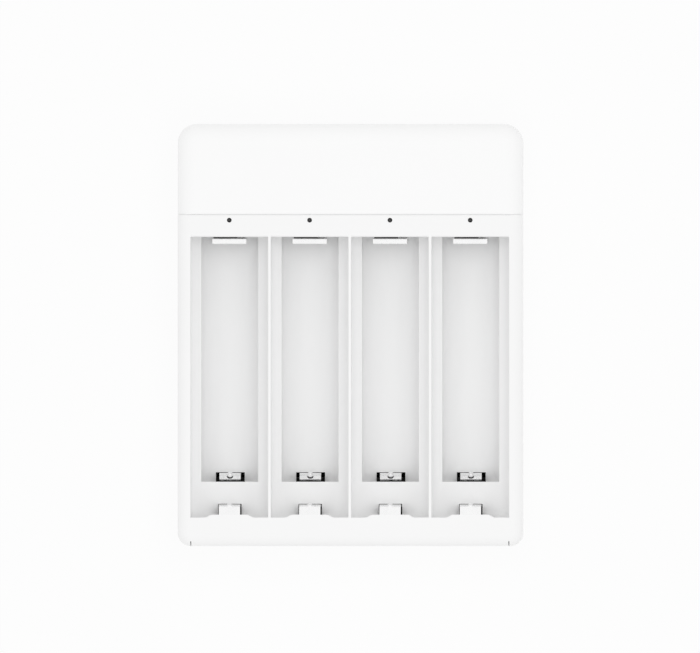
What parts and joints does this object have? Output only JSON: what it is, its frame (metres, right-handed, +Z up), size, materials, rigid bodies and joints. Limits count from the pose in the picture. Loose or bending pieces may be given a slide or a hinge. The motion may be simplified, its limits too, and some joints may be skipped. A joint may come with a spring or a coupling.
{
  "type": "battery charger",
  "caption": "Flat white charger with open side-by-side bays for AA or AAA cells, sprung leaf contacts, a smooth head, small indicator lights and a power socket at the head end.",
  "frame": {"origin": "centre of the footprint, on the surface that the charger lies on", "axes": "+Z up out of the open bays, +Y along the bays towards the closed head, +X to the right"},
  "size_m": [0.0656, 0.0804, 0.0219],
  "materials": {
    "housing_white": "satin",
    "contact_nickel": "bright plated",
    "pipe_smoke": "smoked",
    "led_resin": "satin",
    "board_green": "solder mask",
    "strip_copper": "bright",
    "socket_steel": "bright",
    "socket_black": "matte",
    "chip_black": "matte",
    "ferrite": "matte",
    "can_aluminium": "satin",
    "screw_steel": "zinc plated"
  },
  "bodies": {
    "housing": {"base_shell": "housing_white", "bay_tray": "housing_white", "head_cover": "housing_white", "positive_contact_1": "contact_nickel", "positive_contact_2": "contact_nickel", "positive_contact_3": "contact_nickel", "positive_contact_4": "contact_nickel", "light_pipe_1": "pipe_smoke", "light_pipe_2": "pipe_smoke", "light_pipe_3": "pipe_smoke", "light_pipe_4": "pipe_smoke", "status_led_1": "led_resin", "status_led_2": "led_resin", "status_led_3": "led_resin", "status_led_4": "led_resin", "circuit_board": "board_green", "ground_strip": "strip_copper", "usb_shell": "socket_steel", "usb_tongue": "socket_black", "charge_controller": "chip_black", "charge_switches": "chip_black", "inductor_1": "ferrite", "inductor_2": "ferrite", "capacitor_1": "can_aluminium", "capacitor_2": "can_aluminium", "case_screws": "screw_steel"},
    "aa_leaf_1": {"aa_contact_1": "contact_nickel"},
    "aa_leaf_2": {"aa_contact_2": "contact_nickel"},
    "aa_leaf_3": {"aa_contact_3": "contact_nickel"},
    "aa_leaf_4": {"aa_contact_4": "contact_nickel"},
    "aaa_leaf_1": {"aaa_contact_1": "contact_nickel"},
    "aaa_leaf_2": {"aaa_contact_2": "contact_nickel"},
    "aaa_leaf_3": {"aaa_contact_3": "contact_nickel"},
    "aaa_leaf_4": {"aaa_contact_4": "contact_nickel"}
  },
  "joints": [
    {"name": "aa_leaf_1_flex", "type": "hinge", "parent": "housing", "child": "aa_leaf_1", "pos_m": [-0.02295, -0.03248, 0.00273], "axis": [1, 0, 0], "range_deg": [0, 6], "stiffness_Nm_per_rad": 0.6},
    {"name": "aa_leaf_2_flex", "type": "hinge", "parent": "housing", "child": "aa_leaf_2", "pos_m": [-0.00765, -0.03248, 0.00273], "axis": [1, 0, 0], "range_deg": [0, 6], "stiffness_Nm_per_rad": 0.6},
    {"name": "aa_leaf_3_flex", "type": "hinge", "parent": "housing", "child": "aa_leaf_3", "pos_m": [0.00765, -0.03248, 0.00273], "axis": [1, 0, 0], "range_deg": [0, 6], "stiffness_Nm_per_rad": 0.6},
    {"name": "aa_leaf_4_flex", "type": "hinge", "parent": "housing", "child": "aa_leaf_4", "pos_m": [0.02295, -0.03248, 0.00273], "axis": [1, 0, 0], "range_deg": [0, 6], "stiffness_Nm_per_rad": 0.6},
    {"name": "aaa_leaf_1_flex", "type": "hinge", "parent": "housing", "child": "aaa_leaf_1", "pos_m": [-0.02295, -0.02647, 0.00273], "axis": [1, 0, 0], "range_deg": [0, 9], "stiffness_Nm_per_rad": 0.18},
    {"name": "aaa_leaf_2_flex", "type": "hinge", "parent": "housing", "child": "aaa_leaf_2", "pos_m": [-0.00765, -0.02647, 0.00273], "axis": [1, 0, 0], "range_deg": [0, 9], "stiffness_Nm_per_rad": 0.18},
    {"name": "aaa_leaf_3_flex", "type": "hinge", "parent": "housing", "child": "aaa_leaf_3", "pos_m": [0.00765, -0.02647, 0.00273], "axis": [1, 0, 0], "range_deg": [0, 9], "stiffness_Nm_per_rad": 0.18},
    {"name": "aaa_leaf_4_flex", "type": "hinge", "parent": "housing", "child": "aaa_leaf_4", "pos_m": [0.02295, -0.02647, 0.00273], "axis": [1, 0, 0], "range_deg": [0, 9], "stiffness_Nm_per_rad": 0.18}
  ]
}
